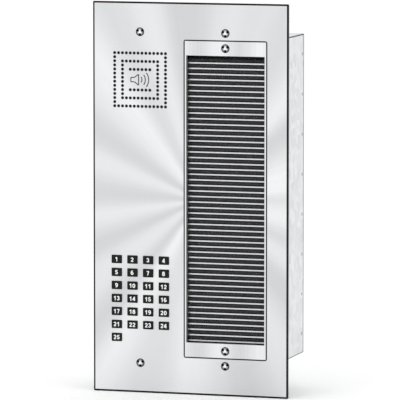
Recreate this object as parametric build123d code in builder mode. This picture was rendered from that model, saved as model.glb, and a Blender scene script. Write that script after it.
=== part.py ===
"""Flush-mounted door intercom panel: a stainless faceplate with a speaker grille, twenty-five call
buttons and a name directory, on a folded steel back box that is set into the wall.

Frame: X to the right, Y into the wall, Z up. The origin is the centre of the wall plane, where the
rear of the sealing gasket and the ears of the back box meet the finished wall. Sizes in millimetres.
"""

import os

from build123d import *

# ---------------------------------------------------------------- driving dimensions
PLATE_WIDTH = 236.5
PLATE_HEIGHT = 457.2
PLATE_THICK = 3.0
PLATE_CORNER = 1.2
PLATE_CHAMFER = 0.6

EAR_THICK = 1.5  # box sheet, which also sets how far the faceplate stands off the wall
PLATE_BACK = -EAR_THICK
PLATE_FRONT = PLATE_BACK - PLATE_THICK

LEFT_COLUMN_X = -60.8  # grille, keypad and left-hand screws share this line
DIRECTORY_X = 42.5  # directory and right-hand screws share this line

GRILLE_Z = 137.9
GRILLE_PITCH = 4.7625  # 3/16 inch
GRILLE_HOLE = 3.3
GRILLE_COUNT = 14  # holes along one side of the outer square

BUTTON_COLUMNS = 4
BUTTON_COUNT = 25
BUTTON_PITCH_X = 19.2
BUTTON_PITCH_Z = 15.3
BUTTON_WIDTH = 12.2
BUTTON_HEIGHT = 9.4
BUTTON_CORNER = 0.8
BUTTON_PROUD = 1.6
BUTTON_TRAVEL = 1.2
BUTTON_TOP_Z = -72.6
BUTTON_GAP = 0.25  # all round, between a cap and its aperture
BUTTON_LIP = 1.4  # how far the retaining flange reaches past the cap
BUTTON_RIM = 0.75  # width of the raised edge round a cap's face
BUTTON_SINK = 0.2  # how far the numbered face lies below that edge

SCREW_Z = 193.7  # faceplate screws, above and below the wall plane's centre
COVER_SCREW_Z = 176.2

COVER_WIDTH = 100.4
COVER_HEIGHT = 370.8
COVER_CORNER = 2.2
COVER_GAP = 0.3
VIEW_WIDTH = 94.0
VIEW_HEIGHT = 334.5

STRIP_COUNT = 50  # name strips, between a taller heading strip and a narrow foot strip
STRIP_PITCH = 6.48
STRIP_WIDTH = 95.6
STRIP_THICK = 1.2
HEADING_RAIL_Z = 168.6
STRIP_TOP_Z = 158.5  # centre of the rail under the heading strip
STRIP_END_Z = -170.0

BOX_WIDTH = 215.9
BOX_HEIGHT = 376.6
BOX_DEPTH = 101.6
BOX_SHEET = EAR_THICK
BOX_BACK = BOX_DEPTH - EAR_THICK
EAR_REACH = 205.0

# security screw: countersunk, raised head with three round recesses
HEAD_R = 5.0
HEAD_DOME = 0.8
SHANK_R = 2.35
SINK_ANGLE = 82
HEAD_CONE = 2.95
RECESS_R = 1.55
RECESS_RING = 3.05
RECESS_DEPTH = 1.6

# weld studs and their nuts
STUD_R = 2.0
STUD_END = 14.0
NUT_FLATS = 7.0
NUT_THICK = 3.2
STUD_HOLE_R = 2.25


def facing(y):
    """The plane at depth y, seen from the front: local x is X, local y is Z."""
    return Plane.XZ.offset(-y)


def section(x, z):
    """The plane through (x, z) that holds an axis along Y: local x is a radius, local y is Y."""
    return Plane(origin=(x, 0, z), x_dir=(1, 0, 0), z_dir=(0, 0, 1))


def inward_axis(x, z):
    return Axis((x, 0, z), (0, 1, 0))


def save(name, built):
    """Writes one sub-part, and prints how many solids it has."""
    built.part.label = name
    export_step(built.part, f"parts/{name}.step")
    print(f"{name}: {len(built.part.solids())} solid(s), {built.part.volume:.1f} mm3")


os.makedirs("parts", exist_ok=True)

# ---------------------------------------------------------------- shared places
grille_half = GRILLE_PITCH * (GRILLE_COUNT - 1) / 2


def square_ring(first, last):
    """Grid indices of a hollow square whose sides run from index first to index last."""
    span = range(first, last + 1)
    return [(i, j) for i in span for j in span if i in (first, last) or j in (first, last)]


grille_cells = square_ring(0, 13) + square_ring(2, 11) + [(i, j) for j in (4, 9) for i in range(4, 10)]
grille_places = [
    (LEFT_COLUMN_X - grille_half + GRILLE_PITCH * i, GRILLE_Z - grille_half + GRILLE_PITCH * j)
    for i, j in grille_cells
]

button_places = [
    (
        LEFT_COLUMN_X + BUTTON_PITCH_X * (n % BUTTON_COLUMNS - (BUTTON_COLUMNS - 1) / 2),
        BUTTON_TOP_Z - BUTTON_PITCH_Z * (n // BUTTON_COLUMNS),
    )
    for n in range(BUTTON_COUNT)
]
keypad_z = BUTTON_TOP_Z - BUTTON_PITCH_Z * (BUTTON_COUNT // BUTTON_COLUMNS) / 2

plate_screw_places = [(x, z) for x in (LEFT_COLUMN_X, DIRECTORY_X) for z in (SCREW_Z, -SCREW_Z)]
cover_screw_places = [(DIRECTORY_X, COVER_SCREW_Z), (DIRECTORY_X, -COVER_SCREW_Z)]

SPEAKER_STUD_OFFSET = 37.5
BOARD_STUD_X = 33.0
BOARD_STUD_Z = 58.5
TRAY_STUD_X = 55.0
TRAY_STUD_ZS = (-150.0, 0.0, 150.0)

speaker_stud_places = [
    (LEFT_COLUMN_X + sx * SPEAKER_STUD_OFFSET, GRILLE_Z + sz * SPEAKER_STUD_OFFSET)
    for sx in (-1, 1)
    for sz in (-1, 1)
]
board_stud_places = [
    (LEFT_COLUMN_X + sx * BOARD_STUD_X, keypad_z + sz * BOARD_STUD_Z) for sx in (-1, 0, 1) for sz in (-1, 1)
]
tray_stud_places = [(DIRECTORY_X + sx * TRAY_STUD_X, z) for sx in (-1, 1) for z in TRAY_STUD_ZS]

# ---------------------------------------------------------------- faceplate
with BuildPart() as faceplate:
    with BuildSketch(facing(PLATE_FRONT)):
        RectangleRounded(PLATE_WIDTH, PLATE_HEIGHT, PLATE_CORNER)
        with Locations((DIRECTORY_X, 0)):
            RectangleRounded(
                COVER_WIDTH + 2 * COVER_GAP,
                COVER_HEIGHT + 2 * COVER_GAP,
                COVER_CORNER + COVER_GAP,
                mode=Mode.SUBTRACT,
            )
        with Locations(*button_places):
            RectangleRounded(
                BUTTON_WIDTH + 2 * BUTTON_GAP,
                BUTTON_HEIGHT + 2 * BUTTON_GAP,
                BUTTON_CORNER,
                mode=Mode.SUBTRACT,
            )
        with Locations(*grille_places):
            Circle(GRILLE_HOLE / 2, mode=Mode.SUBTRACT)
    extrude(amount=-PLATE_THICK)
    front = faceplate.faces().sort_by(Axis.Y)[0]
    chamfer(front.outer_wire().edges(), length=PLATE_CHAMFER)
    with Locations(facing(PLATE_FRONT)):
        with Locations(*plate_screw_places):
            CounterSinkHole(SHANK_R + 0.15, HEAD_R + 0.1, PLATE_THICK, SINK_ANGLE)
save("faceplate", faceplate)

# ---------------------------------------------------------------- sealing gasket behind the faceplate
GASKET_OUTER_INSET = 4.0
GASKET_SIDE_GAP = 1.2  # from the back box and its ears
with BuildPart() as wall_gasket:
    with BuildSketch(facing(PLATE_BACK)):
        Rectangle(PLATE_WIDTH - 2 * GASKET_OUTER_INSET, PLATE_HEIGHT - 2 * GASKET_OUTER_INSET)
        Rectangle(BOX_WIDTH + 2 * GASKET_SIDE_GAP, 2 * (EAR_REACH + GASKET_SIDE_GAP), mode=Mode.SUBTRACT)
    extrude(amount=-EAR_THICK)
save("wall_gasket", wall_gasket)


# ---------------------------------------------------------------- security screws
def security_screw(shank_length):
    """One screw on the local Z axis, with the rim of its head at z = 0."""
    with BuildPart() as screw:
        with BuildSketch(Plane.XZ):
            with BuildLine():
                TangentArc((0, HEAD_DOME), (HEAD_R, 0), tangent=(1, 0))
                Polyline(
                    (HEAD_R, 0),
                    (SHANK_R, -HEAD_CONE),
                    (SHANK_R, 0.5 - shank_length),
                    (SHANK_R - 0.5, -shank_length),
                    (0, -shank_length),
                    (0, HEAD_DOME),
                )
            make_face()
        revolve(axis=Axis.Z)
        with PolarLocations(RECESS_RING, 3, start_angle=30):
            Cylinder(RECESS_R, 2 * RECESS_DEPTH, mode=Mode.SUBTRACT)
    return screw.part


with BuildPart() as faceplate_screws:
    with Locations(facing(PLATE_FRONT)):
        with Locations(*plate_screw_places):
            add(security_screw(13.0))
save("faceplate_screws", faceplate_screws)

# ---------------------------------------------------------------- weld studs and nuts on the faceplate's back
stud_places = speaker_stud_places + board_stud_places + tray_stud_places
with BuildPart() as weld_studs:
    with BuildSketch(facing(PLATE_BACK)):
        with Locations(*stud_places):
            Circle(STUD_R)
    extrude(amount=PLATE_BACK - STUD_END)
    chamfer(weld_studs.faces().filter_by(Axis.Y).group_by(Axis.Y)[-1].edges(), length=0.4)
save("weld_studs", weld_studs)


def hex_nut(flats, thick, bore_r):
    """One hexagon nut, its bearing face at z = 0 and its body towards -Z."""
    with BuildPart() as nut:
        with BuildSketch():
            RegularPolygon(flats / 2, 6, major_radius=False)
            Circle(bore_r, mode=Mode.SUBTRACT)
        extrude(amount=-thick)
    return nut.part


# ---------------------------------------------------------------- speaker
SPEAKER_R = 38.5
SPEAKER_FRONT = 2.3  # front of the speaker's rim
SPEAKER_RIM = 1.2
RETAINER_THICK = 1.5
speaker_section = section(LEFT_COLUMN_X, GRILLE_Z)
speaker_axis = inward_axis(LEFT_COLUMN_X, GRILLE_Z)
SCREEN_THICK = 0.8
rim_back = SPEAKER_FRONT + SPEAKER_RIM
BASKET_BACK = 18.3
BASKET_SHEET = 1.0
PLATE_STACK = BASKET_BACK + BASKET_SHEET  # front of the magnet's top plate

with BuildPart() as speaker_screen:
    with BuildSketch(facing(PLATE_BACK)):
        with Locations((LEFT_COLUMN_X, GRILLE_Z)):
            RectangleRounded(70, 70, 4)
    extrude(amount=-SCREEN_THICK)
save("speaker_screen", speaker_screen)

with BuildPart() as speaker_gasket:
    with BuildSketch(facing(PLATE_BACK + SCREEN_THICK)):
        with Locations((LEFT_COLUMN_X, GRILLE_Z)):
            Circle(SPEAKER_R)
            Circle(34.4, mode=Mode.SUBTRACT)
    extrude(amount=PLATE_BACK + SCREEN_THICK - SPEAKER_FRONT)
save("speaker_gasket", speaker_gasket)

with BuildPart() as speaker_frame:
    with BuildSketch(speaker_section):
        Polygon(
            (SPEAKER_R, SPEAKER_FRONT),
            (SPEAKER_R, rim_back),
            (32.6, rim_back),
            (20.4, BASKET_BACK),
            (20.4, PLATE_STACK),
            (9.4, PLATE_STACK),
            (9.4, BASKET_BACK),
            (19.4, BASKET_BACK),
            (31.4, SPEAKER_FRONT),
            align=None,
        )
    revolve(axis=speaker_axis)
    with BuildSketch(facing(6.5)):
        with Locations((LEFT_COLUMN_X, GRILLE_Z)):
            Circle(33)
            Circle(17, mode=Mode.SUBTRACT)
            Rectangle(80, 11, mode=Mode.SUBTRACT)
            Rectangle(11, 80, mode=Mode.SUBTRACT)
    extrude(amount=-10, mode=Mode.SUBTRACT)
    with BuildSketch(facing(BASKET_BACK)):
        with Locations((LEFT_COLUMN_X, GRILLE_Z - 22)):
            Rectangle(12, 8)
    extrude(amount=-BASKET_SHEET)
save("speaker_frame", speaker_frame)

with BuildPart() as speaker_cone:
    with BuildSketch(speaker_section):
        with BuildLine():
            Polyline((34, SPEAKER_FRONT), (34, SPEAKER_FRONT - 0.4), (31.3, SPEAKER_FRONT - 0.4))
            ThreePointArc(
                (31.3, SPEAKER_FRONT - 0.4), (29.6, SPEAKER_FRONT - 2.1), (27.9, SPEAKER_FRONT - 0.4)
            )
            Polyline((27.9, SPEAKER_FRONT - 0.4), (8.9, 14.6), (8.9, 22.4), (8.4, 22.4), (8.4, 14.3))
            Polyline((8.4, 14.3), (27.5, SPEAKER_FRONT - 1.1))
            ThreePointArc(
                (27.5, SPEAKER_FRONT - 1.1), (29.6, SPEAKER_FRONT - 2.6), (31.7, SPEAKER_FRONT - 0.9)
            )
            Polyline((31.7, SPEAKER_FRONT - 0.9), (34.3, SPEAKER_FRONT - 0.9), (34.3, SPEAKER_FRONT))
            Line((34.3, SPEAKER_FRONT), (34, SPEAKER_FRONT))
        make_face()
    revolve(axis=speaker_axis)
save("speaker_cone", speaker_cone)

with BuildPart() as speaker_dust_cap:
    with BuildSketch(speaker_section):
        with BuildLine():
            TangentArc((0, 9.4), (10.9, 12.57), tangent=(1, 0))
            Line((10.9, 12.57), (10.5, 12.84))
            TangentArc((0, 9.9), (10.5, 12.84), tangent=(1, 0))
            Line((0, 9.9), (0, 9.4))
        make_face()
    revolve(axis=speaker_axis)
save("speaker_dust_cap", speaker_dust_cap)

TOP_PLATE_THICK = 3.0
MAGNET_THICK = 8.0
BACK_PLATE_THICK = 3.0
magnet_front = PLATE_STACK + TOP_PLATE_THICK
magnet_back = magnet_front + MAGNET_THICK
with BuildPart() as speaker_magnet:
    with BuildSketch(facing(magnet_front)):
        with Locations((LEFT_COLUMN_X, GRILLE_Z)):
            Circle(22.5)
            Circle(11, mode=Mode.SUBTRACT)
    extrude(amount=-MAGNET_THICK)
    chamfer(speaker_magnet.faces().filter_by(Axis.Y).edges(), length=0.5)
save("speaker_magnet", speaker_magnet)

with BuildPart() as speaker_pole_plates:
    with BuildSketch(facing(PLATE_STACK)):
        with Locations((LEFT_COLUMN_X, GRILLE_Z)):
            Circle(20)
            Circle(9.3, mode=Mode.SUBTRACT)
    extrude(amount=-TOP_PLATE_THICK)
    with BuildSketch(facing(magnet_back)):
        with Locations((LEFT_COLUMN_X, GRILLE_Z)):
            Circle(20)
    extrude(amount=-BACK_PLATE_THICK)
    with BuildSketch(facing(magnet_back)):
        with Locations((LEFT_COLUMN_X, GRILLE_Z)):
            Circle(8.0)
    extrude(amount=magnet_back - PLATE_STACK)
save("speaker_pole_plates", speaker_pole_plates)

TERMINAL_X = 4.5  # each solder lug, from the speaker's centre line
LUG_END_Z = GRILLE_Z - 36.0
with BuildPart() as speaker_terminals:
    with BuildSketch(facing(PLATE_STACK)):
        with Locations((LEFT_COLUMN_X, GRILLE_Z - 26)):
            Rectangle(17, 10)
    extrude(amount=-1.2)
    with BuildSketch(facing(PLATE_STACK + 1.2)):
        with Locations(
            (LEFT_COLUMN_X - TERMINAL_X, LUG_END_Z + 5.5),
            (LEFT_COLUMN_X + TERMINAL_X, LUG_END_Z + 5.5),
        ):
            Rectangle(3.2, 11)
    extrude(amount=-0.5)
save("speaker_terminals", speaker_terminals)

with BuildPart() as speaker_retainer:
    with BuildSketch(facing(rim_back)):
        with Locations((LEFT_COLUMN_X, GRILLE_Z)):
            RectangleRounded(83.4, 83.4, 4)
            Circle(34.5, mode=Mode.SUBTRACT)
        with Locations(*speaker_stud_places):
            Circle(STUD_HOLE_R, mode=Mode.SUBTRACT)
    extrude(amount=-RETAINER_THICK)
save("speaker_retainer", speaker_retainer)

# ---------------------------------------------------------------- call buttons
CAP_FRONT = PLATE_FRONT - BUTTON_PROUD
FLANGE_THICK = 1.2
FLANGE_FRONT = PLATE_BACK + 0.15
STEM_R = 2.8
STEM_END = 2.7


def call_button(x, z):
    """A cap with its retaining flange and the stem that works the dome behind it."""
    with BuildPart() as button:
        with BuildSketch(facing(CAP_FRONT)):
            with Locations((x, z)):
                RectangleRounded(BUTTON_WIDTH, BUTTON_HEIGHT, BUTTON_CORNER)
        extrude(amount=CAP_FRONT - FLANGE_FRONT)
        fillet(button.faces().sort_by(Axis.Y)[0].edges(), radius=0.45)
        with BuildSketch(facing(CAP_FRONT)):
            with Locations((x, z)):
                RectangleRounded(BUTTON_WIDTH - 2 * BUTTON_RIM, BUTTON_HEIGHT - 2 * BUTTON_RIM, 0.5)
        extrude(amount=-BUTTON_SINK, mode=Mode.SUBTRACT)
        with BuildSketch(facing(FLANGE_FRONT)):
            with Locations((x, z)):
                RectangleRounded(BUTTON_WIDTH + 2 * BUTTON_LIP, BUTTON_HEIGHT + 2 * BUTTON_LIP, 1.2)
        extrude(amount=-FLANGE_THICK)
        with BuildSketch(facing(FLANGE_FRONT + FLANGE_THICK)):
            with Locations((x, z)):
                Circle(STEM_R)
        extrude(amount=FLANGE_FRONT + FLANGE_THICK - STEM_END)
    return button


for number, (button_x, button_z) in enumerate(button_places, start=1):
    save(f"button_{number:02d}", call_button(button_x, button_z))

# ---------------------------------------------------------------- button guide, dome mat and contact pills
GUIDE_FRONT = 1.35
MAT_FRONT = 5.1
MAT_THICK = 1.2
BOARD_FRONT = MAT_FRONT + MAT_THICK
BOARD_THICK = 1.6
board_back = BOARD_FRONT + BOARD_THICK
GUIDE_SIZE = (78.0, 108.0)
MAT_SIZE = (74.0, 104.0)
BOARD_SIZE = (80.0, 126.0)
GUIDE_RIB = 1.6
DOME_BASE_R = 4.6
DOME_TOP_R = 3.3
DOME_WALL = 0.7
PILL_R = 2.0
PILL_THICK = 0.6
dome_pad_back = MAT_FRONT - PILL_THICK

with BuildPart() as button_guide:
    with BuildSketch(facing(GUIDE_FRONT)):
        with Locations((LEFT_COLUMN_X, keypad_z)):
            Rectangle(*GUIDE_SIZE)
        with Locations(*button_places):
            Circle(DOME_BASE_R + 0.4, mode=Mode.SUBTRACT)
    extrude(amount=GUIDE_FRONT - MAT_FRONT)
    with BuildSketch(facing(PLATE_BACK)):
        with Locations((LEFT_COLUMN_X, keypad_z)):
            Rectangle(*GUIDE_SIZE)
            Rectangle(GUIDE_SIZE[0] - 2 * GUIDE_RIB, GUIDE_SIZE[1] - 2 * GUIDE_RIB, mode=Mode.SUBTRACT)
    extrude(amount=PLATE_BACK - GUIDE_FRONT)
save("button_guide", button_guide)

with BuildPart() as dome:
    with BuildSketch(Plane.XZ):
        Polygon(
            (0, MAT_FRONT - STEM_END),
            (DOME_TOP_R, MAT_FRONT - STEM_END),
            (DOME_BASE_R, 0),
            (DOME_BASE_R + 0.2, 0),
            (DOME_BASE_R + 0.2, -MAT_THICK),
            (DOME_BASE_R - DOME_WALL, -MAT_THICK),
            (DOME_BASE_R - DOME_WALL, 0),
            (DOME_TOP_R - DOME_WALL, MAT_FRONT - dome_pad_back),
            (0, MAT_FRONT - dome_pad_back),
            align=None,
        )
    revolve(axis=Axis.Z)

with BuildPart() as keypad_mat:
    with BuildSketch(facing(MAT_FRONT)):
        with Locations((LEFT_COLUMN_X, keypad_z)):
            Rectangle(*MAT_SIZE)
        with Locations(*button_places):
            Circle(DOME_BASE_R, mode=Mode.SUBTRACT)
    extrude(amount=-MAT_THICK)
    with Locations(facing(MAT_FRONT)):
        with Locations(*button_places):
            add(dome.part)
save("keypad_mat", keypad_mat)

with BuildPart() as contact_pills:
    with BuildSketch(facing(dome_pad_back)):
        with Locations(*button_places):
            Circle(PILL_R)
    extrude(amount=-PILL_THICK)
save("contact_pills", contact_pills)

# ---------------------------------------------------------------- button circuit board and its fixings
board_centre = (LEFT_COLUMN_X, keypad_z)
with BuildPart() as button_board:
    with BuildSketch(facing(BOARD_FRONT)):
        with Locations(board_centre):
            RectangleRounded(*BOARD_SIZE, 2)
        with Locations(*board_stud_places):
            Circle(STUD_HOLE_R, mode=Mode.SUBTRACT)
    extrude(amount=-BOARD_THICK)
save("button_board", button_board)

with BuildPart() as board_spacers:
    with BuildSketch(facing(PLATE_BACK)):
        with Locations(*board_stud_places):
            Circle(3.4)
            Circle(STUD_HOLE_R, mode=Mode.SUBTRACT)
    extrude(amount=PLATE_BACK - BOARD_FRONT)
save("board_spacers", board_spacers)

# ---------------------------------------------------------------- terminal blocks on the board
TERMINAL_PITCH = 5.08
TERMINAL_COUNT = 13
BLOCK_DEEP = 10.0
BLOCK_TALL = 8.0
UPPER_BLOCK_Z = -73.0
LOWER_BLOCK_Z = -164.0
WELL_R = 1.9
WELL_DEEP = 4.5
ENTRY_Y = board_back + 3.4
block_half = TERMINAL_PITCH * (TERMINAL_COUNT - 1) / 2
terminal_xs = [LEFT_COLUMN_X - block_half + TERMINAL_PITCH * n for n in range(TERMINAL_COUNT)]
block_zs = (UPPER_BLOCK_Z, LOWER_BLOCK_Z)
well_places = [(x, z) for z in block_zs for x in terminal_xs]

with BuildPart() as terminal_blocks:
    with BuildSketch(facing(board_back)):
        with Locations(*[(LEFT_COLUMN_X, z) for z in block_zs]):
            Rectangle(TERMINAL_PITCH * TERMINAL_COUNT + 1, BLOCK_TALL)
    extrude(amount=-BLOCK_DEEP)
    rear = terminal_blocks.faces().filter_by(Axis.Y).group_by(Axis.Y)[-1]
    chamfer([e for face in rear for e in face.edges().filter_by(Axis.X)], length=1.2)
    with BuildSketch(facing(board_back + BLOCK_DEEP)):
        with Locations(*well_places):
            Circle(WELL_R)
    extrude(amount=WELL_DEEP, mode=Mode.SUBTRACT)
    with BuildSketch(Plane.XY.offset(UPPER_BLOCK_Z + BLOCK_TALL / 2)):
        with Locations(*[(x, ENTRY_Y) for x in terminal_xs]):
            Rectangle(3.0, 3.0)
    extrude(amount=-6, mode=Mode.SUBTRACT)
    with BuildSketch(Plane.XY.offset(LOWER_BLOCK_Z - BLOCK_TALL / 2)):
        with Locations(*[(x, ENTRY_Y) for x in terminal_xs]):
            Rectangle(3.0, 3.0)
    extrude(amount=6, mode=Mode.SUBTRACT)
save("terminal_blocks", terminal_blocks)

with BuildPart() as terminal_screw:
    Cylinder(WELL_R - 0.1, 1.8, align=(Align.CENTER, Align.CENTER, Align.MIN))
    with Locations((0, 0, 1.8)):
        Box(2 * WELL_R, 0.6, 1.4, mode=Mode.SUBTRACT)

with BuildPart() as terminal_screws:
    with Locations(facing(board_back + BLOCK_DEEP - WELL_DEEP).rotated((180, 0, 0))):
        with Locations(*[(x, -z) for x, z in well_places]):
            add(terminal_screw.part)
save("terminal_screws", terminal_screws)

# ---------------------------------------------------------------- speaker leads
LEAD_R = 0.8
lead_y = PLATE_STACK + 1.7 + LEAD_R  # lies on the back of its solder lug


def speaker_lead(lug_x, terminal_x):
    """An insulated wire from a solder lug down to a terminal, held at both ends."""
    end_z = UPPER_BLOCK_Z + BLOCK_TALL / 2
    points = [
        (lug_x, lead_y, LUG_END_Z + 6),
        (lug_x, lead_y, 62),
        (lug_x + 3, lead_y - 1.5, 20),
        (terminal_x, ENTRY_Y + 1.5, -24),
        (terminal_x, ENTRY_Y, end_z - 4),
    ]
    with BuildPart() as lead:
        with BuildLine() as route:
            FilletPolyline(*points, radius=60)
        with BuildSketch(Plane(origin=route.line @ 0, z_dir=route.line % 0)):
            Circle(LEAD_R)
        sweep()
    return lead


save("speaker_lead_red", speaker_lead(LEFT_COLUMN_X - TERMINAL_X, terminal_xs[7]))
save("speaker_lead_black", speaker_lead(LEFT_COLUMN_X + TERMINAL_X, terminal_xs[9]))

# ---------------------------------------------------------------- directory tray behind the faceplate
TRAY_SHEET = 1.2
TRAY_POCKET = (98.6, 341.0)
TRAY_FLANGE = (118.6, 388.0)
STRIP_FRONT = 3.0
TRACK_BASE_FRONT = 4.5
TRACK_BASE_THICK = 1.4
track_back = TRACK_BASE_FRONT + TRACK_BASE_THICK
tray_back = track_back + TRAY_SHEET
tray_front = PLATE_BACK
ledge_back = tray_front + TRAY_SHEET
TRAY_FLANGE_HEIGHT = 372.0

with BuildPart() as directory_tray:
    with BuildSketch(facing(tray_front)):
        with Locations((DIRECTORY_X, 0)):
            Rectangle(TRAY_FLANGE[0], TRAY_FLANGE_HEIGHT)
    extrude(amount=-TRAY_SHEET)
    with BuildSketch(facing(ledge_back)):
        with Locations((DIRECTORY_X, 0)):
            Rectangle(TRAY_POCKET[0] + 2 * TRAY_SHEET, TRAY_POCKET[1] + 2 * TRAY_SHEET)
    extrude(amount=ledge_back - tray_back)
    fillet(directory_tray.faces().sort_by(Axis.Y)[-1].edges(), radius=1.0)
    with BuildSketch(facing(tray_front)):
        with Locations((DIRECTORY_X, 0)):
            Rectangle(*TRAY_POCKET)
    extrude(amount=tray_front - track_back, mode=Mode.SUBTRACT)
    with BuildSketch(facing(tray_front)):
        with Locations(*tray_stud_places):
            Circle(STUD_HOLE_R)
        with Locations(*cover_screw_places):
            Circle(SHANK_R + 0.15)
    extrude(amount=-TRAY_SHEET, mode=Mode.SUBTRACT)
save("directory_tray", directory_tray)

with BuildPart() as hex_nuts:
    for nut_front, places in (
        (rim_back + RETAINER_THICK, speaker_stud_places),
        (board_back, board_stud_places),
        (ledge_back, tray_stud_places),
    ):
        with Locations(facing(nut_front)):
            with Locations(*places):
                add(hex_nut(NUT_FLATS, NUT_THICK, STUD_R + 0.05))
save("hex_nuts", hex_nuts)


def clinch_nut(length):
    """A round press-in nut behind a sheet, its shoulder at z = 0 and its body towards -Z."""
    with BuildPart() as nut:
        with BuildSketch():
            Circle(4.4)
            Circle(SHANK_R + 0.05, mode=Mode.SUBTRACT)
        extrude(amount=-length)
        chamfer(nut.faces().sort_by(Axis.Z)[0].outer_wire().edges(), length=0.5)
    return nut.part


with BuildPart() as directory_nuts:
    with Locations(facing(ledge_back)):
        with Locations(*cover_screw_places):
            add(clinch_nut(5.0))
save("directory_nuts", directory_nuts)

# ---------------------------------------------------------------- strip track and name strips
RAIL_WEB = 0.6
RAIL_LIP = 1.5
LIP_THICK = 0.7
LIP_FRONT = 2.2
rail_zs = [HEADING_RAIL_Z] + [STRIP_TOP_Z - STRIP_PITCH * n for n in range(STRIP_COUNT + 1)]
track_plane = Plane.YZ.offset(DIRECTORY_X - TRAY_POCKET[0] / 2 + 0.5)
TRACK_LENGTH = TRAY_POCKET[0] - 1.0

with BuildPart() as directory_track:
    with BuildSketch(track_plane):
        with Locations(((TRACK_BASE_FRONT + track_back) / 2, 0)):
            Rectangle(TRACK_BASE_THICK, TRAY_POCKET[1] - 1.0)
        with Locations(*[((LIP_FRONT + TRACK_BASE_FRONT) / 2, z) for z in rail_zs]):
            Rectangle(TRACK_BASE_FRONT - LIP_FRONT + 0.2, RAIL_WEB)
        with Locations(*[(LIP_FRONT + LIP_THICK / 2, z) for z in rail_zs]):
            Rectangle(LIP_THICK, RAIL_LIP)
    extrude(amount=TRACK_LENGTH)
save("directory_track", directory_track)

with BuildPart() as name_strips:
    with BuildSketch(facing(STRIP_FRONT)):
        for upper, lower in zip(rail_zs, [*rail_zs[1:], STRIP_END_Z]):
            with Locations((DIRECTORY_X, (upper + lower) / 2)):
                Rectangle(STRIP_WIDTH, upper - lower - RAIL_WEB - 0.2)
    extrude(amount=-STRIP_THICK)
save("name_strips", name_strips)

# ---------------------------------------------------------------- directory cover
COVER_SEAL = 0.8
WINDOW_SIZE = (97.6, 340.0)
WINDOW_THICK = 2.0
with BuildPart() as directory_frame:
    with BuildSketch(facing(PLATE_FRONT)):
        with Locations((DIRECTORY_X, 0)):
            RectangleRounded(COVER_WIDTH, COVER_HEIGHT, COVER_CORNER)
            Rectangle(VIEW_WIDTH, VIEW_HEIGHT, mode=Mode.SUBTRACT)
    extrude(amount=-PLATE_THICK)
    cover_face = directory_frame.faces().sort_by(Axis.Y)[0]
    chamfer(cover_face.edges(), length=0.3)
    with Locations(facing(PLATE_FRONT)):
        with Locations(*cover_screw_places):
            CounterSinkHole(SHANK_R + 0.15, HEAD_R + 0.1, PLATE_THICK, SINK_ANGLE)
save("directory_frame", directory_frame)

with BuildPart() as directory_gasket:
    with BuildSketch(facing(PLATE_BACK)):
        with Locations((DIRECTORY_X, 0)):
            Rectangle(*WINDOW_SIZE)
            Rectangle(VIEW_WIDTH + 0.4, VIEW_HEIGHT + 0.4, mode=Mode.SUBTRACT)
    extrude(amount=-COVER_SEAL)
save("directory_gasket", directory_gasket)

with BuildPart() as directory_window:
    with BuildSketch(facing(PLATE_BACK + COVER_SEAL)):
        with Locations((DIRECTORY_X, 0)):
            Rectangle(*WINDOW_SIZE)
    extrude(amount=-WINDOW_THICK)
save("directory_window", directory_window)

with BuildPart() as directory_screws:
    with Locations(facing(PLATE_FRONT)):
        with Locations(*cover_screw_places):
            add(security_screw(11.0))
save("directory_screws", directory_screws)

# ---------------------------------------------------------------- back box
BACK_HOLE_R = 3.25
BACK_HOLE_X = 80.0
BACK_HOLE_Z = 150.0
SIDE_HOLE_R = 2.5
SIDE_HOLE_Y = 18.0
SIDE_HOLE_Z = 140.0
KNOCKOUT_R = 11.1
KNOCKOUT_GROOVE = 0.9
KNOCKOUT_DEEP = 0.7
KNOCKOUT_Y = 55.0
KNOCKOUT_X = 60.0
GROUND_Z = -120.0
GROUND_R = 2.4
half_width = BOX_WIDTH / 2
half_height = BOX_HEIGHT / 2


def knockout(places):
    """Ring grooves that leave a disc of sheet to be punched out."""
    with Locations(*places):
        Circle(KNOCKOUT_R)
        Circle(KNOCKOUT_R - KNOCKOUT_GROOVE, mode=Mode.SUBTRACT)


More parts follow.
